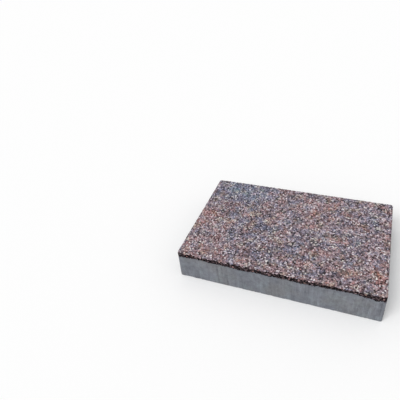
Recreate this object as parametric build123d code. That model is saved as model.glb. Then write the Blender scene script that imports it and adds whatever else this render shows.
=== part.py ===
"""A faced concrete paver: a plain concrete body with a thin facing of granite chips on top.

Millimetres. +X runs along the paver's length, +Y across its width, and +Z is up.
The origin is the middle of the underside, so the paver lies on the plane z = 0.
"""
from build123d import *

import math
import os

# Overall size as laid
length = 300.0
width = 200.0
thickness = 50.0

# Edges left by the mould
corner_radius = 3.0
arris_radius = 0.8
bed_edge_radius = 1.5

# Granite facing: its mean depth, and how far its lower limit wanders above and below it
facing_depth = 8.0
wander = 1.1
wave_along = 88.0
wave_across = 61.0
wave_diagonal = 47.0

# Where the waves along and across the paver stand at its middle, in radians
start_along = 0.7
start_across = 2.1

# The surface between the two mixes is fitted to points this close together, to this tolerance,
# and runs on past the sides by the overrun before it is trimmed
points_per_wave = 7
fit_tolerance = 0.01
overrun = 10.0


def boundary_height(x, y):
    """Height of the surface between the body's mix and the facing's, above the underside."""
    waves = [
        math.sin(math.tau * x / wave_along + start_along),
        math.sin(math.tau * y / wave_across + start_across),
        math.sin(math.tau * (x + y) / wave_diagonal),
    ]
    return thickness - facing_depth + wander * sum(waves) / len(waves)


def spaced(extent):
    """Even steps from one side to the other, close enough together to follow the shortest wave."""
    reach = extent / 2 + overrun
    count = math.ceil(2 * reach * points_per_wave / min(wave_along, wave_across, wave_diagonal))
    return [reach * (2 * step / count - 1) for step in range(count + 1)]


def moulded_block():
    """The whole paver as it leaves the mould, before it is divided into its two mixes."""
    block = Box(length, width, thickness, align=(Align.CENTER, Align.CENTER, Align.MIN))
    block = fillet(block.edges().filter_by(Axis.Z), corner_radius)
    block = fillet(block.faces().sort_by(Axis.Z)[-1].edges(), arris_radius)
    return fillet(block.faces().sort_by(Axis.Z)[0].edges(), bed_edge_radius)


def space_above_boundary():
    """Everything over the surface between the two mixes, to well above the top of the paver."""
    rows = [[Vector(x, y, boundary_height(x, y)) for y in spaced(width)] for x in spaced(length)]
    surface = Face.make_surface_from_array_of_points(rows, tol=fit_tolerance)
    return Solid.extrude(surface, Vector(0, 0, thickness))


block = moulded_block()
upper_space = space_above_boundary()
concrete_body = block - upper_space
granite_facing = block & upper_space

os.makedirs("parts", exist_ok=True)
export_step(concrete_body, "parts/concrete_body.step")
export_step(granite_facing, "parts/granite_facing.step")
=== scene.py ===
"""Dresses a faced concrete paver: packed granite chips above, a plain moulded body below.

Metres, in the frame of the CAD model: +X along the paver, +Y across it, +Z up, and the
origin in the middle of the underside. Sizes are written in millimetres times MM.
"""

import math

import bpy
import numpy as np
from mathutils import Matrix, Vector, noise
from mathutils.geometry import delaunay_2d_cdt


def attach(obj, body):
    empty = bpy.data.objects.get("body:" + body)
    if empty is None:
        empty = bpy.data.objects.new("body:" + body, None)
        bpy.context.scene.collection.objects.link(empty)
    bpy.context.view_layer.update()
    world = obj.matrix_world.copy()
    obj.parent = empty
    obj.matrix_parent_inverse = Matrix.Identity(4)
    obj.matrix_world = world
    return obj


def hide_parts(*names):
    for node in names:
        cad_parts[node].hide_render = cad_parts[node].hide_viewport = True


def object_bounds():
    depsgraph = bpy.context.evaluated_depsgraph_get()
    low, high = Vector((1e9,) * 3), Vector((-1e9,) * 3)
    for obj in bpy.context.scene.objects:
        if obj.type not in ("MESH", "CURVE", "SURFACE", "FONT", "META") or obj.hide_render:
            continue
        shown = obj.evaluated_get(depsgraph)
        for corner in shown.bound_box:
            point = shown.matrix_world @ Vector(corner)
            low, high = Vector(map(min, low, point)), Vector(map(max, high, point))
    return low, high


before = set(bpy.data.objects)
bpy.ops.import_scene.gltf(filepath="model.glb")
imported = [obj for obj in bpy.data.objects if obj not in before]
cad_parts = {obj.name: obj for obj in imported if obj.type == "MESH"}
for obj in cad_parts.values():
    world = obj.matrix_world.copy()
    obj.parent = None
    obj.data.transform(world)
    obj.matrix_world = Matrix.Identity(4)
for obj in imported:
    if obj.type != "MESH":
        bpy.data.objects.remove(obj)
cad_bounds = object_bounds()

MM = 0.001
NEARLY_NOTHING = 1e-9
LEAST_DIVISOR = 1e-12
WHITE = (1.0, 1.0, 1.0, 1.0)

# Outer form, as the CAD nodes have it
highest_corner = np.array(cad_bounds[1])
HALF = highest_corner[:2]
TOP = highest_corner[2]
CORNER_RADIUS = 3.0 * MM
ARRIS_RADIUS = 0.8 * MM
BED_EDGE_RADIUS = 1.5 * MM

# The wandering surface between the two mixes, as the CAD nodes have it: the starts say where
# the waves along and across the paver stand at its middle, in radians
FACING_DEPTH = 8.0 * MM
WANDER = 1.1 * MM
WAVE_ALONG = 88.0 * MM
WAVE_ACROSS = 61.0 * MM
WAVE_DIAGONAL = 47.0 * MM
START_ALONG = 0.7
START_ACROSS = 2.1

# How far apart in the field of noise two seeds are
SEED_SHIFT = Vector((17.3, 5.1, 9.7))

# Granite chips: radius of each size, how many are thrown down, and how its top is cut
CHIP_SIZES = [
    (1.52 * MM, 2800, "crowned"),
    (1.10 * MM, 13000, "crowned"),
    (0.84 * MM, 50000, "flat"),
    (0.63 * MM, 78000, "pointed"),
]
CHIP_PACKING = 0.93
WIDEST_CELL = 3 * CHIP_SIZES[0][0]

# A chip's top: how far it sinks, how seldom it sinks far, its tilt and its crown, how far the
# crown's peak may lie from the middle, and the share of the chip that the top takes
CHIP_SINK = 0.35 * MM
SINK_POWER = 1.3
CHIP_TILT = 0.16
CHIP_CROWN = 0.16 * MM
CROWN_RANGE = (-0.4, 1.6)
PEAK_RANGE = (-0.3, 0.3)
TOP_RANGE = (0.70, 0.92)

# The valleys between the chips
VALLEY_DEPTH = 0.68 * MM
VALLEY_RANGE = (0.75, 1.1)

# Chips lost along the arris
CRUMBLE_WIDTH = 2.6 * MM
CRUMBLE_DEPTH = 1.3 * MM
CRUMBLE_SHARE = 0.30

# Past the arris: where chips and valleys turn flat, how much of their relief they lose, and
# how far a chip has turned when the skin can cover it, and when it is cut as the side's are
SIDE_TURN = (-0.2 * MM, 1.0 * MM)
VALLEY_TURN = (-0.3 * MM, 1.0 * MM)
CHIP_FLATTENING = 0.85
VALLEY_FLATTENING = 0.80
SKIN_STARTS = 0.5
QUITE_ON_SIDE = 0.99

# How far the top's chips hang over the side: size, strength and seed of each layer of noise
OVERHANG = [(4 * MM, 0.9 * MM, 15), (15 * MM, 0.9 * MM, 17)]

# The dark skin down the side, partly the facing mix's own dark colour and partly painted shade
# under the overhanging chips: how far above the surface between the mixes it ends, how ragged
# its edge is, with the size, strength and seed of each layer of noise in it, the share of the
# chips that show through it, and how near its edge none does
SKIN_RISE = 0.55 * MM
RAGGED = 1.3 * MM
SKIN_EDGE = [(5 * MM, 1.0, 5), (17 * MM, 0.6, 14), (60 * MM, 1.7, 188)]
SHOWING_CHIPS = 0.10
LOWEST_SHOWING = 1.4 * MM

# How far the facing's mesh runs on below the dark skin, as plain cement
SKIRT = 2.6 * MM

# Clouds of warmer and of lighter chips: size, strength and seed of each layer of noise
MEAN_WARM = 0.18
WARM_CLOUDS = [(15 * MM, 1.4, 1), (7 * MM, 0.9, 2)]
LIGHT_CLOUDS = [(30 * MM, 0.15, 3), (9 * MM, 0.15, 4)]

# How much one chip differs from its neighbours, and how much warmer and darker the side's are,
# darker partly for the paste over them and partly as painted shade under the overhanging chips
WARM_SPREAD = 0.45
LIGHT_SPREAD = 0.98
SIDE_WARMER = 0.7
SIDE_DARKER = 1.0

# Soft patches of colour on the top face: x, y and radius in millimetres, then how much
# warmer (+) or bluer (-) the chips there are, and how much lighter (+) or darker (-)
PATCHES = [
    (-112, 80, 30, -1.55, -0.02),
    (-68, 76, 30, -1.35, 0.10),
    (-90, 13, 11, -0.70, -0.30),
    (-42, -17, 17, -0.85, -0.45),
    (-78, -34, 15, -0.60, -0.25),
    (-32, -70, 18, -0.70, -0.25),
    (0, -47, 20, -0.50, -0.10),
    (105, -18, 18, -0.45, 0.00),
    (-137, 2, 16, 0.75, 0.05),
    (-114, -24, 24, 0.45, 0.30),
    (-108, -86, 30, 0.45, 0.20),
    (-48, -84, 10, 0.80, 0.00),
    (-36, 38, 13, 0.80, 0.05),
    (2, 82, 14, 0.75, 0.10),
    (32, 24, 16, 0.80, 0.10),
    (26, 68, 15, 0.45, 0.25),
    (78, -88, 18, 0.50, -0.10),
    (140, -72, 22, 1.00, -0.12),
    (134, 78, 14, 0.00, -0.35),
]

# Moulded body: the steps of its mesh, how far its walls stand in, how far it runs up and how
# much further in under the facing, over what height it turns in there, and how far outside
# the outline a wall begins and is complete
BODY_STEP = 1.2 * MM
BODY_RISE_STEP = 0.9 * MM
BODY_INSET = 0.14 * MM
HIDDEN_RISE = 3.4 * MM
HIDDEN_INSET = 0.5 * MM
HIDDEN_BLEND = 1.0 * MM
WALL_STARTS = (-1.0 * MM, -0.2 * MM)

# Drag lines down the walls: size, strength and seed of each layer of noise, and how much
# shorter than their true height they are measured, so that they run on
DRAG_LINES = [(3.2 * MM, 0.6, 6), (9 * MM, 1.0, 7)]
DRAG_STRETCH = 0.12

# Noise for the rest of the body's relief: the size of its features and its seed
DRAGGED_AREAS = (60 * MM, 8)
ROUGHNESS = (2.2 * MM, 9)
PITS = (3.0 * MM, 10)
SWELLS = (38 * MM, 11)
EDGE_CHIPS = (5.5 * MM, 12)
BED_SWELLS = (8 * MM, 13)
STAINS = (2.5 * MM, 16)

# Where in its noise each of them begins and is complete
DRAGGED = (-0.1, 0.25)
PITTED = (0.60, 0.80)
CHIPPED = (0.15, 0.6)
STAINED = (-0.5, 0.5)

# Depth of the relief on the walls
DRAG_DEPTH = 0.05 * MM
ROUGH_DEPTH = 0.03 * MM
PIT_DEPTH = 0.35 * MM
SWELL_DEPTH = 0.07 * MM

# Chips out of the lower edge: how deep and how high they go, how near they keep to the line
# along which they lie, and how far inside the outline that line is
EDGE_CHIP_DEPTH = 0.9 * MM
EDGE_CHIP_LIFT = 0.5 * MM
EDGE_CHIP_REACH = 2.2 * MM
EDGE_LINE = 0.3 * BED_EDGE_RADIUS

# Relief of the underside: how far it lifts the surface, and how low and how far in from the
# outline a point of the underside is
BED_ROUGH_LIFT = 0.05 * MM
BED_PIT_LIFT = 0.7 * MM
BED_SWELL_LIFT = 0.10 * MM
BED_HEIGHT = 0.5 * MM
BED_LIMIT = -0.8 * BED_EDGE_RADIUS

# How far below the dark skin's edge it stains the body
STAIN_REACH = 1.5 * MM

# Marks on the front side: x at its top and at its bottom, width, lowest and highest point
# in millimetres, and how much darker (-) or lighter (+) it is
SIDE_MARKS = [
    (-144, -143, 9.0, 26, 44, 0.10),
    (-140, -136, 4.0, 0, 24, -0.13),
    (-97, -96, 11.0, 0, 44, 0.07),
    (-87, -84, 2.6, 0, 44, -0.17),
    (-74, -70, 3.0, 2, 24, -0.13),
    (-50, -46, 3.6, 6, 30, -0.09),
    (-22, -20, 2.6, 8, 36, -0.06),
    (22, 24, 3.2, 4, 34, -0.06),
    (145, 145, 2.4, 14, 44, -0.15),
]

# Over how many millimetres a mark's ends fade, and how far back the front side ends
MARK_FADE = 3
FRONT_ENDS = (0.6 * MM, 0.2 * MM)

# Colour of the chips: from the bluest to the warmest and how warm that is, the grey that light
# ones fade to and how light they are when it is complete, and the tan areas, with how much
# the specks in them count and where in the noise they begin and are complete
CHIP_COLOURS = [
    (0.00, (0.158, 0.226, 0.290)),
    (0.22, (0.178, 0.204, 0.290)),
    (0.38, (0.213, 0.196, 0.276)),
    (0.50, (0.253, 0.199, 0.240)),
    (0.62, (0.297, 0.198, 0.217)),
    (0.78, (0.350, 0.187, 0.187)),
    (1.00, (0.398, 0.161, 0.146)),
]
WARMEST = 3.226
FADED_CHIP = (0.230, 0.211, 0.225)
QUITE_FADED = 2.0
TAN_CAST = (1.01, 1.04, 0.84)
TAN_AREAS = {"size": 13 * MM}
TAN_SPECKS = {"size": 1.4 * MM}
TAN_SPECK_STRENGTH = 0.159
TAN_RANGE = (0.559, 0.786)

# Brightness of the chips: at their mean, for each step of lightness, at least, and how steeply
# it rises, then how far crystals and clouds inside a chip change it
MEAN_LEVEL = 1.018
LEVEL_STEP = 0.33
LEAST_LEVEL = 0.3
LEVEL_POWER = 2.2
CRYSTALS = {"size": 0.9 * MM}
CRYSTAL_LEVELS = (0.24, 1.84)
INNER_CLOUDS = {"size": 0.5 * MM, "detail": 3.0}
CLOUD_LEVELS = (0.75, 1.25)

# The palest chips, the dark flecks in the chips, and the paste in the valleys between them,
# its own dark colour made darker still as painted shade in the valleys
PALE_CHIP = (0.62, 0.60, 0.60)
PALE_RANGE = (1.389, 2.5)
PALE_STRENGTH = 0.6
FLECK_COLOUR = (0.020, 0.018, 0.022)
FLECKS = {"size": 0.95 * MM}
FLECKS_START = 0.84
FLECK_STRENGTH = 0.85
DEEP_PASTE_AND_SHADE = (0.035, 0.028, 0.030)
HIGH_PASTE_AND_SHADE = (0.105, 0.084, 0.083)
PASTE_CLOUDS = {"size": 1.5 * MM, "detail": 4.0}
PASTE_AND_SHADE_STRENGTH = 0.48

# The dark skin, the facing mix's own dark colour together with painted shade under the
# overhanging chips, from its darkest to where it is worn, and in millimetres how far its edge
# wavers and over what height it gives way to cement
SKIN_AND_SHADE_COLOURS = [
    (0.40, (0.0014, 0.0012, 0.0015)),
    (0.51, (0.0085, 0.0066, 0.0082)),
    (0.58, (0.0600, 0.0420, 0.0470)),
    (0.67, (0.1900, 0.1300, 0.1280)),
]
SKIN_CLOUDS = {"size": 2.2 * MM, "detail": 5.0, "roughness": 0.65}
SKIN_WAVES = {"size": 1.6 * MM, "detail": 5.0}
SKIN_WAVER = (-3.5, 3.5)
SKIN_BLEND = (-0.2778, 0.2778)

# Cement, with the casts that it has in places: the size of those places, the cast, and where
# in their noise it begins and is complete
DARK_CEMENT = (0.112, 0.120, 0.142)
LIGHT_CEMENT = (0.216, 0.225, 0.252)
CEMENT_CLOUDS = {"size": 24 * MM, "detail": 4.0, "roughness": 0.65}
CEMENT_CASTS = [(30 * MM, (1.09, 1.02, 0.87)), (12 * MM, (0.93, 1.03, 0.98))]
CAST_DETAIL = 3.0
CAST_RANGE = (0.46, 0.66)
CAST_STRENGTH = 0.42

# Layers of the moulded body's looks, and how much each changes its brightness
STREAKS = {"size": 3.4 * MM, "detail": 4.0, "roughness": 0.65}
STREAK_SCALE = (1.0, 1.0, 0.11)
STREAKED_AREAS = {"size": 50 * MM}
STREAKED_RANGE = (0.3, 0.6333)
STREAK_TONE = 1.35
MOTTLE = {"size": 6.0 * MM, "detail": 5.0, "roughness": 0.65}
MOTTLE_TONE = 0.70
SAND = {"size": 0.6 * MM, "detail": 4.0, "roughness": 0.7}
SAND_TONE = 0.80
GRIT = {"size": 0.8 * MM}
GRIT_TONE = 0.18
MARK_TONE = 1.5

# The body's stains, and the painted shade in its pits and pores, with how wide a pore is at most,
# as a share of their spacing, and how many places have no pore for each that has one
STAIN_COLOUR = (0.060, 0.047, 0.045)
STAIN_STRENGTH = 0.65
PORE_SHADE_COLOUR = (0.060, 0.060, 0.064)
PORE_SHADE_STRENGTH = 0.6
PIT_SHADE_STRENGTH = 0.6
PORE_SPACING = 2.2 * MM
PORE_RADIUS = 0.11
PORES_MISSING = 3
PORE_SHARPNESS = 18.0

# Gloss of each surface: where it changes, its least and its most roughness, and how much it
# reflects
GRANITE_GLOSS = {"size": 0.9 * MM}
GRANITE_ROUGHNESS = (0.52, 0.87)
GRANITE_SPECULAR = 0.2
SKIN_GLOSS = {"size": 1.1 * MM, "detail": 3.0}
SKIN_ROUGHNESS = (0.82, 0.97)
SKIN_SPECULAR = 0.03
CONCRETE_GLOSS = {"size": 5 * MM, "detail": 3.0}
CONCRETE_ROUGHNESS = (0.76, 0.96)
CONCRETE_SPECULAR = 0.25

# Bumps: the texture, where it is not one of those above, and its strength and depth
GRANITE_GRAIN = {"size": 0.7 * MM, "detail": 4.0}
GRANITE_GRAIN_BUMP = (0.55, 0.25 * MM)
GRANITE_FACETS = {"size": 0.6 * MM, "output": "Distance"}
GRANITE_FACET_BUMP = (0.4, 0.12 * MM)
SKIN_GRAIN = {"size": 0.8 * MM, "detail": 4.0}
SKIN_GRAIN_BUMP = (0.6, 0.3 * MM)
DRAG_BUMP = (0.6, 0.5 * MM)
MOTTLE_BUMP = (0.4, 0.4 * MM)
SAND_BUMP = (0.7, 0.25 * MM)
PORE_BUMP = (0.8, 0.4 * MM)

# Stage
FLOOR_REACH = 20.0
FLOOR_COLOUR = (0.97, 0.97, 0.97, 1.0)
SURROUND_LIGHT = 0.62
SUN_STRENGTH = 1.7
SUN_WIDTH = math.radians(35)
SUN_FROM = Vector((-0.45, -0.95, 1.15))

# Camera, fitted to the paver in the photograph, which is taken as 400 pixels square
PICTURE = 400.0
CAMERA_PLACE = Vector((95.9, -500.7, 499.4)) * MM
CAMERA_AZIMUTH = math.radians(-25.04)
CAMERA_DROP = math.radians(35.91)
CAMERA_ROLL = math.radians(-6.33)
FOCAL_PIXELS = 419.3
LENS_AXIS_PIXEL = (205.0, 190.0)
NEAREST_SEEN = 0.01

random = np.random.default_rng(seed=4135)


def boundary_height(x, y):
    """Height of the surface between the two mixes."""
    waves = [
        np.sin(math.tau * x / WAVE_ALONG + START_ALONG),
        np.sin(math.tau * y / WAVE_ACROSS + START_ACROSS),
        np.sin(math.tau * (x + y) / WAVE_DIAGONAL),
    ]
    return TOP - FACING_DEPTH + WANDER * sum(waves) / len(waves)


def noise_at(points, size, seed):
    """Smooth noise from -1 to 1 at each point, with features of about the given size."""
    shift = SEED_SHIFT * seed
    return np.array([noise.noise(Vector(point) / size + shift) for point in points])


def clouds(points, layers):
    """The sum of layers of noise, each with its size, strength and seed."""
    return sum(strength * noise_at(points, size, seed) for size, strength, seed in layers)


def on_floor(points):
    """Flat points as points in space."""
    return np.column_stack([points, np.zeros(len(points))])


def smooth_step(start, end, value):
    """0 up to the start, 1 from the end on, and a smooth rise between them."""
    t = np.clip((value - start) / (end - start), 0.0, 1.0)
    return t * t * (3.0 - 2.0 * t)


def outline_of(points):
    """For flat points: distance outside the rounded outline, nearest point on it, outward normal."""
    inner = HALF - CORNER_RADIUS
    core = np.clip(points, -inner, inner)
    away = points - core
    reach = np.linalg.norm(away, axis=1)
    normal = away / np.maximum(reach, LEAST_DIVISOR)[:, None]
    depth_inside = np.max(np.abs(points) - inner, axis=1)
    distance = np.where(reach > NEARLY_NOTHING, reach, depth_inside) - CORNER_RADIUS
    return distance, core + normal * CORNER_RADIUS, normal


def fold_over(points, relief):
    """Folds a flat sheet over the arris and down the sides, and moves it out by its relief."""
    distance, nearest, normal = outline_of(points)
    quarter = ARRIS_RADIUS * math.pi / 4
    turn = (np.clip(distance, -quarter, quarter) / quarter + 1) * math.pi / 4
    lateral = np.where(
        distance < -quarter,
        np.interp(distance, [-CORNER_RADIUS, -quarter], [-CORNER_RADIUS, -ARRIS_RADIUS]),
        ARRIS_RADIUS * (np.sin(turn) - 1),
    )
    height = TOP - ARRIS_RADIUS * (1 - np.cos(turn)) - np.maximum(distance - quarter, 0)
    near_edge = (distance > -CORNER_RADIUS)[:, None]
    flat = np.where(near_edge, nearest + normal * lateral[:, None], points)
    outward = np.where(near_edge, normal * np.sin(turn)[:, None], 0.0)
    flat = flat + outward * relief[:, None]
    height = height + np.cos(turn) * relief
    return np.column_stack([flat, height])


def skin_depth(nearest):
    """How far down from the top the dark skin ends, for points on the outline."""
    waver = clouds(on_floor(nearest), SKIN_EDGE)
    return TOP - boundary_height(nearest[:, 0], nearest[:, 1]) - SKIN_RISE + RAGGED * waver


def chip_seeds(reach):
    """Chips thrown down largest first, each no nearer to the others than the two sizes allow."""
    size = HALF + reach
    bin_size = 2 * CHIP_SIZES[0][0]
    neighbours = [(i, j) for i in (-1, 0, 1) for j in (-1, 0, 1)]
    bins = {}
    placed = []
    for kind, (radius, throws, _) in enumerate(CHIP_SIZES):
        for x, y in random.uniform(-size, size, (throws, 2)).tolist():
            column = int(x // bin_size)
            row = int(y // bin_size)
            near = [chip for i, j in neighbours for chip in bins.get((column + i, row + j), ())]
            if all(math.hypot(x - a, y - b) > CHIP_PACKING * (radius + r) for a, b, r in near):
                bins.setdefault((column, row), []).append((x, y, radius))
                placed.append((x, y, kind))
    return np.array(placed)


def cells_of(points):
    """The Voronoi cells of flat points: shared corners, and each whole cell's corners in order."""
    result = delaunay_2d_cdt([Vector(point) for point in points], [], [], 0, NEARLY_NOTHING)
    places = np.array([tuple(vertex) for vertex in result[0]])
    triangles = np.array(result[2])
    a, b, c = (places[triangles[:, k]] for k in range(3))
    ab, ac = b - a, c - a
    twice = 2 * (ab[:, 0] * ac[:, 1] - ab[:, 1] * ac[:, 0])
    ab2, ac2 = (ab ** 2).sum(1), (ac ** 2).sum(1)
    centres = a + np.column_stack([
        (ac[:, 1] * ab2 - ab[:, 1] * ac2) / twice,
        (ab[:, 0] * ac2 - ac[:, 0] * ab2) / twice,
    ])
    around = [[] for _ in places]
    for index, triangle in enumerate(triangles):
        for corner in triangle:
            around[corner].append(index)
    cells = []
    for number, (seed, members) in enumerate(zip(places, around)):
        ring = np.array(members)
        offset = centres[ring] - seed
        if len(ring) < 3 or np.abs(offset).max() > WIDEST_CELL:
            continue
        cells.append((number, ring[np.argsort(np.arctan2(offset[:, 1], offset[:, 0]))].tolist()))
    return centres, cells


def patch_fields(points):
    """How warm and how light the chips are about each flat point."""
    spots = on_floor(points)
    warm = MEAN_WARM + clouds(spots, WARM_CLOUDS)
    light = clouds(spots, LIGHT_CLOUDS)
    for x, y, radius, warmer, lighter in PATCHES:
        apart = ((points - np.array([x, y]) * MM) ** 2).sum(1) / (radius * MM) ** 2
        warm += warmer * np.exp(-apart)
        light += lighter * np.exp(-apart)
    return warm, light


class ChipTops:
    """What the top of each chip is like, given how far outside the outline the chip lies."""

    def __init__(self, distance, on_side):
        count = len(distance)
        near_arris = np.exp(-(distance / CRUMBLE_WIDTH) ** 2)
        sink = CHIP_SINK * random.random(count) ** SINK_POWER
        lost = random.random(count) < CRUMBLE_SHARE * near_arris
        self.sink = sink + np.where(lost, CRUMBLE_DEPTH * random.random(count), 0.0) * near_arris
        self.tilt = random.normal(0.0, CHIP_TILT, (count, 2))
        self.crown = CHIP_CROWN * random.uniform(*CROWN_RANGE, count)
        self.peak_shift = random.uniform(*PEAK_RANGE, count)
        self.share = random.uniform(*TOP_RANGE, count)
        self.relief_left = 1.0 - CHIP_FLATTENING * on_side

    def cut(self, index, outline):
        """A chip's top rim with its heights, and the peak of its crown with its height."""
        centre = outline.mean(0)
        rim = centre + (outline - centre) * self.share[index]
        peak = centre + (outline[0] - centre) * self.peak_shift[index]
        tilted = -self.sink[index] + (rim - centre) @ self.tilt[index]
        heights = np.minimum(tilted, 0.0) * self.relief_left[index]
        peak_height = min(heights.mean() + self.crown[index] * self.relief_left[index], 0.0)
        return rim, heights, peak, peak_height


class Sheet:
    """A flat sheet of points with their relief, and faces that carry their chip's values."""

    def __init__(self, points, relief):
        self.points = [points]
        self.relief = [relief]
        self.count = len(points)
        self.faces = []
        self.values = {"warm": [], "light": [], "paste_and_shade": []}
        self.materials = []

    def add_points(self, points, relief):
        """Adds points and gives their numbers."""
        first = self.count
        self.points.append(points)
        self.relief.append(relief)
        self.count += len(points)
        return list(range(first, self.count))

    def add_faces(self, faces, warm, light, paste_and_shade, material):
        """Adds faces that have the same values and the same material."""
        self.faces += faces
        for name, value in (("warm", warm), ("light", light), ("paste_and_shade", paste_and_shade)):
            self.values[name] += [value] * len(faces)
        self.materials += [material] * len(faces)


def fan(rim, peak):
    """Triangles from each stretch of a closed rim to one point."""
    return [(start, end, peak) for start, end in zip(rim, rim[1:] + rim[:1])]


def slopes(rim, inner_rim):
    """Faces from each stretch of a closed rim to the like stretch of the rim inside it."""
    return list(zip(rim, rim[1:] + rim[:1], inner_rim[1:] + inner_rim[:1], inner_rim))


def open_edges(faces):
    """The edges that only one face has, each in the direction in which that face runs."""
    edges = {}
    for face in faces:
        for start, end in zip(face, face[1:] + face[:1]):
            if (end, start) in edges:
                del edges[end, start]
            else:
                edges[start, end] = True
    return edges


def chip_sheet():
    """Every Voronoi cell as one chip, still flat, from the middle to below the dark skin."""
    placed = chip_seeds(FACING_DEPTH + WANDER + RAGGED + SKIRT + WIDEST_CELL)
    corners, cells = cells_of(placed[:, :2])
    placed = placed[[number for number, _ in cells]]
    rings = [ring for _, ring in cells]
    seeds = placed[:, :2]
    cuts = [CHIP_SIZES[int(kind)][2] for kind in placed[:, 2]]

    distance, nearest, _ = outline_of(seeds)
    skin_ends = skin_depth(nearest)
    on_side = smooth_step(*SIDE_TURN, distance - clouds(on_floor(nearest), OVERHANG))
    tops = ChipTops(distance, on_side)
    warm, light = patch_fields(seeds)
    warm = warm + random.normal(0.0, WARM_SPREAD, len(cells)) + SIDE_WARMER * on_side
    # The side's chips are darker partly for the paste over them and partly as painted shade
    light = light + random.normal(0.0, LIGHT_SPREAD, len(cells)) - SIDE_DARKER * on_side
    valley = VALLEY_DEPTH * random.uniform(*VALLEY_RANGE, len(corners))
    valley = valley * (1.0 - VALLEY_FLATTENING * smooth_step(*VALLEY_TURN, outline_of(corners)[0]))
    # Chips under the dark skin, whose near-black colour is partly painted shade
    low_down = distance > skin_ends - LOWEST_SHOWING
    in_skin_and_shade = (on_side > SKIN_STARTS) & (low_down | (random.random(len(cells)) > SHOWING_CHIPS))

    sheet = Sheet(corners, -valley)
    for index in np.flatnonzero(distance < skin_ends + SKIRT):
        ring = rings[index]
        rim, heights, peak, peak_height = tops.cut(index, corners[ring])
        chip = (warm[index], light[index])
        material = int(in_skin_and_shade[index])
        if cuts[index] == "pointed" or on_side[index] > QUITE_ON_SIDE:
            tip, = sheet.add_points(peak[None], [peak_height])
            sheet.add_faces(fan(ring, tip), *chip, 0.0, material)
            continue
        top_rim = sheet.add_points(rim, heights)
        # The slopes down to the valleys take the dark paste colour, partly painted shade
        sheet.add_faces(slopes(ring, top_rim), *chip, 1.0, material)
        if cuts[index] == "flat":
            sheet.add_faces([tuple(top_rim)], *chip, 0.0, material)
        else:
            tip, = sheet.add_points(peak[None], [peak_height])
            sheet.add_faces(fan(top_rim, tip), *chip, 0.0, material)
    return sheet


def build_facing():
    """The wearing layer: chips folded over the sides, and closed below at one hidden point."""
    sheet = chip_sheet()
    flat_points = np.vstack(sheet.points)
    places = fold_over(flat_points, np.concatenate(sheet.relief))
    distance, nearest, _ = outline_of(flat_points)
    rise = (skin_depth(nearest) - distance) / MM

    used = np.unique(np.concatenate([np.array(face) for face in sheet.faces]))
    number_of = {int(old): new for new, old in enumerate(used)}
    faces = [tuple(number_of[point] for point in face) for face in sheet.faces]
    vertices = places[used].tolist()
    vertices.append([0.0, 0.0, float(boundary_height(0.0, 0.0))])
    hidden_point = len(vertices) - 1
    closing = [(end, start, hidden_point) for start, end in open_edges(faces)]
    sheet.add_faces(closing, 0.0, 0.0, 1.0, 1)

    mesh = bpy.data.meshes.new("granite_face")
    mesh.from_pydata(vertices, [], faces + closing)
    mesh.polygons.foreach_set("material_index", np.array(sheet.materials, dtype=np.int32))
    for name, values in sheet.values.items():
        add_attribute(mesh, name, "FACE", values)
    add_attribute(mesh, "rise", "POINT", np.append(rise[used], 0.0))
    return mesh


def add_attribute(mesh, name, domain, values):
    """Gives a mesh a number for each of its points or faces."""
    attribute = mesh.attributes.new(name, "FLOAT", domain)
    attribute.data.foreach_set("value", np.array(values, dtype=np.float32))


def lattice(x_lines, y_lines, z_lines):
    """The surface of a block cut along the given lines, without its top, as vertices and faces."""
    numbers = {}
    vertices = []

    def number(i, j, k):
        key = (i, j, k)
        if key not in numbers:
            numbers[key] = len(vertices)
            vertices.append((x_lines[i], y_lines[j], z_lines[k]))
        return numbers[key]

    def add_face(*corners):
        faces.append(tuple(number(*corner) for corner in corners))

    faces = []
    last_x, last_y, last_z = len(x_lines) - 1, len(y_lines) - 1, len(z_lines) - 1
    for i in range(last_x):
        for j in range(last_y):
            add_face((i, j, 0), (i, j + 1, 0), (i + 1, j + 1, 0), (i + 1, j, 0))
    for k in range(last_z):
        for i in range(last_x):
            add_face((i, 0, k), (i + 1, 0, k), (i + 1, 0, k + 1), (i, 0, k + 1))
            add_face((i + 1, last_y, k), (i, last_y, k), (i, last_y, k + 1), (i + 1, last_y, k + 1))
        for j in range(last_y):
            add_face((last_x, j, k), (last_x, j + 1, k), (last_x, j + 1, k + 1), (last_x, j, k + 1))
            add_face((0, j + 1, k), (0, j, k), (0, j, k + 1), (0, j + 1, k + 1))
    rim = [number(i, 0, last_z) for i in range(last_x)]
    rim += [number(last_x, j, last_z) for j in range(last_y)]
    rim += [number(i, last_y, last_z) for i in range(last_x, 0, -1)]
    rim += [number(0, j, last_z) for j in range(last_y, 0, -1)]
    vertices.append((0.0, 0.0, z_lines[-1]))
    return np.array(vertices), faces + fan(rim, len(vertices) - 1)


def lines(half, step):
    """Even places from one side to the other, about a step apart."""
    return np.linspace(-half, half, 2 * round(half / step) + 1)


def rounded(across, along):
    """Turns the square corner between two distances past an inner edge into a quarter circle."""
    reach = np.hypot(across, along)
    inside = (across > 0) & (along > 0)
    scale = np.where(inside, np.maximum(across, along) / np.maximum(reach, LEAST_DIVISOR), 1.0)
    return across * scale, along * scale


def round_block(points):
    """Rounds a block's upright and lower edges, and says how its points lie to the outline."""
    flat = points[:, :2]
    height = points[:, 2]
    inner = HALF - CORNER_RADIUS
    away = rounded(*(np.abs(flat) - inner).T)
    flat = np.sign(flat) * (np.column_stack(away) + inner)
    distance, nearest, normal = outline_of(flat)
    past, below = rounded(distance + BED_EDGE_RADIUS, BED_EDGE_RADIUS - height)
    near_wall = distance > -CORNER_RADIUS
    flat = np.where(near_wall[:, None], nearest + normal * (past - BED_EDGE_RADIUS)[:, None], flat)
    height = np.where(near_wall, BED_EDGE_RADIUS - below, height)
    return np.column_stack([flat, height]), distance, nearest, normal


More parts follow.
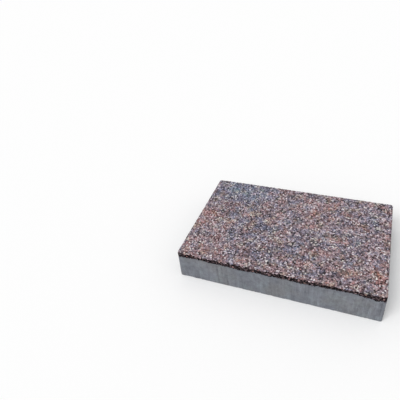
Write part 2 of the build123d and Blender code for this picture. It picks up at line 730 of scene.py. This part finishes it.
def front_marks(shape):
    """How much lighter or darker each point is for the marks on the front side."""
    x = shape[:, 0] / MM
    height = shape[:, 2] / MM
    on_front = smooth_step(*FRONT_ENDS, shape[:, 1] + HALF[1])
    full_height = (TOP - FACING_DEPTH) / MM
    total = np.zeros(len(shape))
    for x_top, x_bottom, width, lowest, highest, change in SIDE_MARKS:
        middle = x_bottom + (x_top - x_bottom) * height / full_height
        above_lowest = smooth_step(lowest - MARK_FADE, lowest + MARK_FADE, height)
        below_highest = smooth_step(highest + MARK_FADE, highest - MARK_FADE, height)
        fade = above_lowest * below_highest
        total += change * np.exp(-((x - middle) / (width / 2)) ** 2) * fade
    return total * on_front


def build_body():
    """The plain moulded body, closed under the facing, with the relief that the mould left on it."""
    rise_steps = round((TOP - FACING_DEPTH + HIDDEN_RISE) / BODY_RISE_STEP)
    z_lines = np.linspace(0.0, 1.0, rise_steps + 1)
    points, faces = lattice(lines(HALF[0], BODY_STEP), lines(HALF[1], BODY_STEP), z_lines)
    points[:, 2] *= boundary_height(points[:, 0], points[:, 1]) + HIDDEN_RISE
    shape, distance, nearest, normal = round_block(points)
    height = shape[:, 2].copy()

    on_wall = smooth_step(*WALL_STARTS, distance)
    past_skin = height - (TOP - skin_depth(nearest))
    covered = smooth_step(-HIDDEN_BLEND, 0.0, past_skin)
    drag = clouds(shape * (1.0, 1.0, DRAG_STRETCH), DRAG_LINES)
    dragged = smooth_step(*DRAGGED, noise_at(shape, *DRAGGED_AREAS))
    rough = noise_at(shape, *ROUGHNESS)
    pit = smooth_step(*PITTED, noise_at(shape, *PITS))
    relief = DRAG_DEPTH * drag * dragged + ROUGH_DEPTH * rough + PIT_DEPTH * pit
    relief = relief + SWELL_DEPTH * noise_at(shape, *SWELLS)

    from_edge = (distance + EDGE_LINE) ** 2 + height ** 2
    chipped = smooth_step(*CHIPPED, noise_at(shape, *EDGE_CHIPS))
    chipped = chipped * np.exp(-from_edge / EDGE_CHIP_REACH ** 2)
    inward = BODY_INSET + relief + EDGE_CHIP_DEPTH * chipped
    inward = inward * (1 - covered) + (BODY_INSET + HIDDEN_INSET) * covered
    shape[:, :2] -= normal * (inward * on_wall)[:, None]

    under = (height < BED_HEIGHT) & (distance < BED_LIMIT)
    lift = BED_ROUGH_LIFT * (1 + rough) + BED_PIT_LIFT * pit
    lift = lift + BED_SWELL_LIFT * (1 + noise_at(shape, *BED_SWELLS))
    shape[:, 2] += np.where(under, lift, EDGE_CHIP_LIFT * chipped)
    stain = np.exp(np.minimum(past_skin, 0.0) / STAIN_REACH)
    stain = stain * smooth_step(*STAINED, noise_at(shape, *STAINS))

    mesh = bpy.data.meshes.new("moulded_body")
    mesh.from_pydata(shape.tolist(), [], faces)
    mesh.polygons.foreach_set("use_smooth", [True] * len(mesh.polygons))
    # The pits' darkening in the concrete's colour is painted shade
    add_attribute(mesh, "pit", "POINT", pit * (1 - covered))
    add_attribute(mesh, "stain", "POINT", stain * on_wall)
    add_attribute(mesh, "mark", "POINT", front_marks(shape))
    return mesh


class Nodes:
    """A short way to write a material's nodes."""

    def __init__(self, name):
        self.material = bpy.data.materials.new(name)
        self.material.use_nodes = True
        self.tree = self.material.node_tree
        self.shader = self.tree.nodes["Principled BSDF"]

    def add(self, kind, inputs=(), **settings):
        """Adds a node with its settings, and values or sockets for its inputs."""
        node = self.tree.nodes.new(kind)
        for key, value in settings.items():
            setattr(node, key, value)
        for key, value in dict(inputs).items():
            self.set(node.inputs[key], value)
        return node

    def set(self, socket, value):
        """Links an input to another node, or gives it a plain value."""
        if isinstance(value, bpy.types.NodeSocket):
            self.tree.links.new(value, socket)
        else:
            socket.default_value = value

    def attribute(self, name):
        """One of the mesh's own values."""
        return self.add("ShaderNodeAttribute", attribute_name=name).outputs["Fac"]

    def math(self, operation, first, second=0.0, third=0.0, clamp=False):
        node = self.add("ShaderNodeMath", operation=operation, use_clamp=clamp)
        for socket, value in zip(node.inputs, (first, second, third)):
            self.set(socket, value)
        return node.outputs[0]

    def spread(self, value, low, high):
        """Spreads a value from 0 to 1 over the range from low to high."""
        return self.math("MULTIPLY_ADD", value, high - low, low)

    def fade(self, value, start, end):
        """0 up to the start, 1 from the end on, and even between them."""
        return self.math("MULTIPLY_ADD", value, 1 / (end - start), -start / (end - start), clamp=True)

    def part(self, value, share):
        """As much of a value as the share says."""
        return self.math("MULTIPLY", value, share)

    def about_zero(self, value):
        """Moves a value from 0 to 1 to the range from -0.5 to 0.5."""
        return self.math("SUBTRACT", value, 0.5)

    def place(self, scale=(1, 1, 1)):
        """Where a point is on the piece, with each direction scaled."""
        coordinates = self.add("ShaderNodeTexCoord").outputs["Object"]
        return self.add("ShaderNodeMapping", {"Vector": coordinates, "Scale": scale}).outputs[0]

    def noise(self, size, detail=2.0, roughness=0.5, place=None):
        """Smooth noise from 0 to 1, with features of the given size."""
        inputs = {
            "Scale": 1.0 / size,
            "Detail": detail,
            "Roughness": roughness,
            "Vector": place or self.place(),
        }
        return self.add("ShaderNodeTexNoise", inputs).outputs["Fac"]

    def grains(self, size, output="Color"):
        """Grains of the given size: a value for each, or how far a point is from its middle."""
        inputs = {"Scale": 1.0 / size, "Vector": self.place()}
        return self.add("ShaderNodeTexVoronoi", inputs).outputs[output]

    def pores(self, spacing, radius):
        """Small round holes of mixed size, in some of the places of the given spacing."""
        cell = self.add("ShaderNodeTexVoronoi", {"Scale": 1.0 / spacing, "Vector": self.place()})
        chance = self.add("ShaderNodeSeparateColor", {"Color": cell.outputs["Color"]}).outputs[0]
        reach = self.spread(chance, -PORES_MISSING * radius, radius)
        inside = self.math("SUBTRACT", reach, cell.outputs["Distance"])
        return self.math("MULTIPLY", inside, PORE_SHARPNESS, clamp=True)

    def ramp(self, factor, stops):
        """The colour that a value from 0 to 1 has among stops, each with its position."""
        node = self.add("ShaderNodeValToRGB", {"Fac": factor})
        elements = node.color_ramp.elements
        while len(elements) < len(stops):
            elements.new(0.5)
        for element, (position, colour) in zip(elements, stops):
            element.position = position
            element.color = (*colour, 1.0)
        return node.outputs["Color"]

    def mix(self, factor, first, second, blend="MIX"):
        """The first colour at factor 0 and the second at 1, or the two blended another way."""
        node = self.add("ShaderNodeMix", data_type="RGBA", blend_type=blend)
        for key, value in (("Factor_Float", factor), ("A_Color", first), ("B_Color", second)):
            socket = next(s for s in node.inputs if s.identifier == key)
            self.set(socket, (*value, 1.0) if isinstance(value, tuple) else value)
        return next(s for s in node.outputs if s.identifier == "Result_Color")

    def tint(self, factor, colour, cast):
        """Gives a colour a cast, in part."""
        return self.mix(factor, colour, self.mix(1.0, colour, cast, "MULTIPLY"))

    def shade(self, colour, level):
        """Makes a colour as many times brighter as the level says."""
        grey = self.add("ShaderNodeCombineXYZ", {"X": level, "Y": level, "Z": level}).outputs[0]
        return self.mix(1.0, colour, grey, "MULTIPLY")

    def surface(self, colour, roughness, specular):
        """The material's colour, how matt it is, and how much it reflects."""
        self.set(self.shader.inputs["Base Color"], colour)
        self.set(self.shader.inputs["Roughness"], roughness)
        self.set(self.shader.inputs["Specular IOR Level"], specular)

    def bump(self, layers):
        """Bump from (height socket, strength, depth) layers, each on top of the last."""
        normal = None
        for height, strength, depth in layers:
            inputs = {"Height": height, "Strength": strength, "Distance": depth}
            if normal is not None:
                inputs["Normal"] = normal
            normal = self.add("ShaderNodeBump", inputs).outputs[0]
        self.set(self.shader.inputs["Normal"], normal)


def granite_material():
    """Chips from teal grey through purple and brown greys to red, with crystals, in a dark matrix
    darkened further as painted shade in the valleys.
    """
    n = Nodes("granite_chips")
    light = n.attribute("light")
    chip = n.ramp(n.fade(n.attribute("warm"), -WARMEST, WARMEST), CHIP_COLOURS)
    chip = n.mix(n.fade(light, 0.0, QUITE_FADED), chip, FADED_CHIP)
    patchy = n.math("MULTIPLY_ADD", n.grains(**TAN_SPECKS), TAN_SPECK_STRENGTH, n.noise(**TAN_AREAS))
    chip = n.tint(n.fade(patchy, *TAN_RANGE), chip, TAN_CAST)

    crystals = n.spread(n.grains(**CRYSTALS), *CRYSTAL_LEVELS)
    inner_clouds = n.spread(n.noise(**INNER_CLOUDS), *CLOUD_LEVELS)
    level = n.math("MULTIPLY_ADD", light, LEVEL_STEP, MEAN_LEVEL)
    level = n.math("POWER", n.math("MAXIMUM", level, LEAST_LEVEL), LEVEL_POWER)
    level = n.math("MULTIPLY", level, n.math("MULTIPLY", crystals, inner_clouds))
    chip = n.shade(chip, level)
    chip = n.mix(n.part(n.fade(light, *PALE_RANGE), PALE_STRENGTH), chip, PALE_CHIP)
    flecks = n.math("GREATER_THAN", n.grains(**FLECKS), FLECKS_START)
    chip = n.mix(n.part(flecks, FLECK_STRENGTH), chip, FLECK_COLOUR)

    paste_and_shade = n.mix(n.noise(**PASTE_CLOUDS), DEEP_PASTE_AND_SHADE, HIGH_PASTE_AND_SHADE)
    colour = n.mix(n.part(n.attribute("paste_and_shade"), PASTE_AND_SHADE_STRENGTH), chip, paste_and_shade)
    n.surface(colour, n.spread(n.noise(**GRANITE_GLOSS), *GRANITE_ROUGHNESS), GRANITE_SPECULAR)
    n.bump([
        (n.noise(**GRANITE_GRAIN), *GRANITE_GRAIN_BUMP),
        (n.grains(**GRANITE_FACETS), *GRANITE_FACET_BUMP),
    ])
    return n.material


def cement_colour(n):
    """Grey cement with a blue cast, in soft clouds that turn warmer here and greener there."""
    colour = n.mix(n.noise(**CEMENT_CLOUDS), DARK_CEMENT, LIGHT_CEMENT)
    for size, cast in CEMENT_CASTS:
        strength = n.fade(n.noise(size, CAST_DETAIL), *CAST_RANGE)
        colour = n.tint(n.part(strength, CAST_STRENGTH), colour, cast)
    return colour


def skin_and_shade_material():
    """The dark skin over the chips down the side, partly its own dark colour and partly painted
    shade, worn brown in places, and cement below its edge.
    """
    n = Nodes("dark_paste_and_shade")
    dark = n.ramp(n.noise(**SKIN_CLOUDS), SKIN_AND_SHADE_COLOURS)
    waver = n.spread(n.noise(**SKIN_WAVES), *SKIN_WAVER)
    covered = n.fade(n.math("ADD", n.attribute("rise"), waver), *SKIN_BLEND)
    colour = n.mix(covered, cement_colour(n), dark)
    n.surface(colour, n.spread(n.noise(**SKIN_GLOSS), *SKIN_ROUGHNESS), SKIN_SPECULAR)
    n.bump([(n.noise(**SKIN_GRAIN), *SKIN_GRAIN_BUMP)])
    return n.material


def concrete_material():
    """Grey cement with drag lines from the mould, fine sand, painted shade in pits and pores, and
    stains below the facing.
    """
    n = Nodes("grey_concrete")
    streaks = n.about_zero(n.noise(**STREAKS, place=n.place(STREAK_SCALE)))
    streaked = n.fade(n.noise(**STREAKED_AREAS), *STREAKED_RANGE)
    drag = n.math("MULTIPLY", streaks, streaked)
    mottle = n.about_zero(n.noise(**MOTTLE))
    sand = n.about_zero(n.noise(**SAND))
    grit = n.about_zero(n.grains(**GRIT))
    layers = [
        (drag, STREAK_TONE),
        (mottle, MOTTLE_TONE),
        (sand, SAND_TONE),
        (grit, GRIT_TONE),
        (n.attribute("mark"), MARK_TONE),
    ]
    level = 1.0
    for layer, strength in layers:
        level = n.math("MULTIPLY_ADD", layer, strength, level)
    colour = n.shade(cement_colour(n), level)
    colour = n.mix(n.part(n.attribute("stain"), STAIN_STRENGTH), colour, STAIN_COLOUR)
    pore = n.pores(PORE_SPACING, PORE_RADIUS)
    # Pits and pores darkened as painted shade
    holes = n.math("MAXIMUM", pore, n.part(n.attribute("pit"), PIT_SHADE_STRENGTH))
    colour = n.mix(n.part(holes, PORE_SHADE_STRENGTH), colour, PORE_SHADE_COLOUR)
    n.surface(colour, n.spread(n.noise(**CONCRETE_GLOSS), *CONCRETE_ROUGHNESS), CONCRETE_SPECULAR)
    n.bump([
        (drag, *DRAG_BUMP),
        (mottle, *MOTTLE_BUMP),
        (sand, *SAND_BUMP),
        (n.part(pore, -1.0), *PORE_BUMP),
    ])
    return n.material


def add_piece(mesh, node, slot, *materials):
    """Puts a mesh in the scene in place of its CAD node, with its materials."""
    piece = bpy.data.objects.new(mesh.name, mesh)
    bpy.context.scene.collection.objects.link(piece)
    for material in materials:
        mesh.materials.append(material)
    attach(piece, "root")
    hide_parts(node)


def build_floor():
    """A wide pale floor on which the paver lies."""
    corners = [(-1, -1), (1, -1), (1, 1), (-1, 1)]
    vertices = [(x * FLOOR_REACH, y * FLOOR_REACH, 0) for x, y in corners]
    mesh = bpy.data.meshes.new("floor")
    mesh.from_pydata(vertices, [], [(0, 1, 2, 3)])
    n = Nodes("pale_floor")
    n.surface(FLOOR_COLOUR, 1.0, 0.0)
    mesh.materials.append(n.material)
    floor = bpy.data.objects.new("floor", mesh)
    bpy.context.scene.collection.objects.link(floor)


def build_surround():
    """Soft light from all round, in a surround that looks white by itself and in reflections."""
    world = bpy.data.worlds.new("studio")
    world.use_nodes = True
    bpy.context.scene.world = world
    tree = world.node_tree
    soft = tree.nodes["Background"]
    soft.inputs["Color"].default_value = WHITE
    soft.inputs["Strength"].default_value = SURROUND_LIGHT
    white = tree.nodes.new("ShaderNodeBackground")
    white.inputs["Color"].default_value = WHITE
    path = tree.nodes.new("ShaderNodeLightPath")
    looked_at = path.outputs["Is Camera Ray"]
    for kind in ("Is Glossy Ray", "Is Transmission Ray"):
        either = tree.nodes.new("ShaderNodeMath")
        either.operation = "MAXIMUM"
        tree.links.new(looked_at, either.inputs[0])
        tree.links.new(path.outputs[kind], either.inputs[1])
        looked_at = either.outputs[0]
    blend = tree.nodes.new("ShaderNodeMixShader")
    for socket, source in zip(blend.inputs, (looked_at, soft.outputs[0], white.outputs[0])):
        tree.links.new(source, socket)
    tree.links.new(blend.outputs[0], tree.nodes["World Output"].inputs["Surface"])


def build_sun():
    """One wide lamp from the front left."""
    lamp = bpy.data.lights.new("key", "SUN")
    lamp.energy = SUN_STRENGTH
    lamp.angle = SUN_WIDTH
    key = bpy.data.objects.new("key", lamp)
    key.rotation_euler = SUN_FROM.to_track_quat("Z", "Y").to_euler()
    bpy.context.scene.collection.objects.link(key)


def build_camera():
    """The photograph's viewing angle, with the paver where it lies in the photograph's frame."""
    data = bpy.data.cameras.new("camera")
    data.sensor_fit = "HORIZONTAL"
    data.lens = FOCAL_PIXELS / PICTURE * data.sensor_width
    data.shift_x = (PICTURE / 2 - LENS_AXIS_PIXEL[0]) / PICTURE
    data.shift_y = (LENS_AXIS_PIXEL[1] - PICTURE / 2) / PICTURE
    data.clip_start = NEAREST_SEEN
    camera = bpy.data.objects.new("camera", data)
    bpy.context.scene.collection.objects.link(camera)
    forward = Vector((
        math.sin(CAMERA_AZIMUTH) * math.cos(CAMERA_DROP),
        math.cos(CAMERA_AZIMUTH) * math.cos(CAMERA_DROP),
        -math.sin(CAMERA_DROP),
    ))
    level_right = forward.cross(Vector((0, 0, 1))).normalized()
    level_up = level_right.cross(forward)
    right = level_right * math.cos(CAMERA_ROLL) + level_up * math.sin(CAMERA_ROLL)
    up = right.cross(forward)
    turn = Matrix((right, up, -forward)).transposed()
    camera.matrix_world = Matrix.Translation(CAMERA_PLACE) @ turn.to_4x4()
    bpy.context.scene.camera = camera


build_camera()
add_piece(build_facing(), "granite_facing", "granite_chips", granite_material(), skin_and_shade_material())
add_piece(build_body(), "concrete_body", "grey_concrete", concrete_material())
build_floor()
build_surround()
build_sun()
bpy.context.scene.view_settings.view_transform = "Standard"
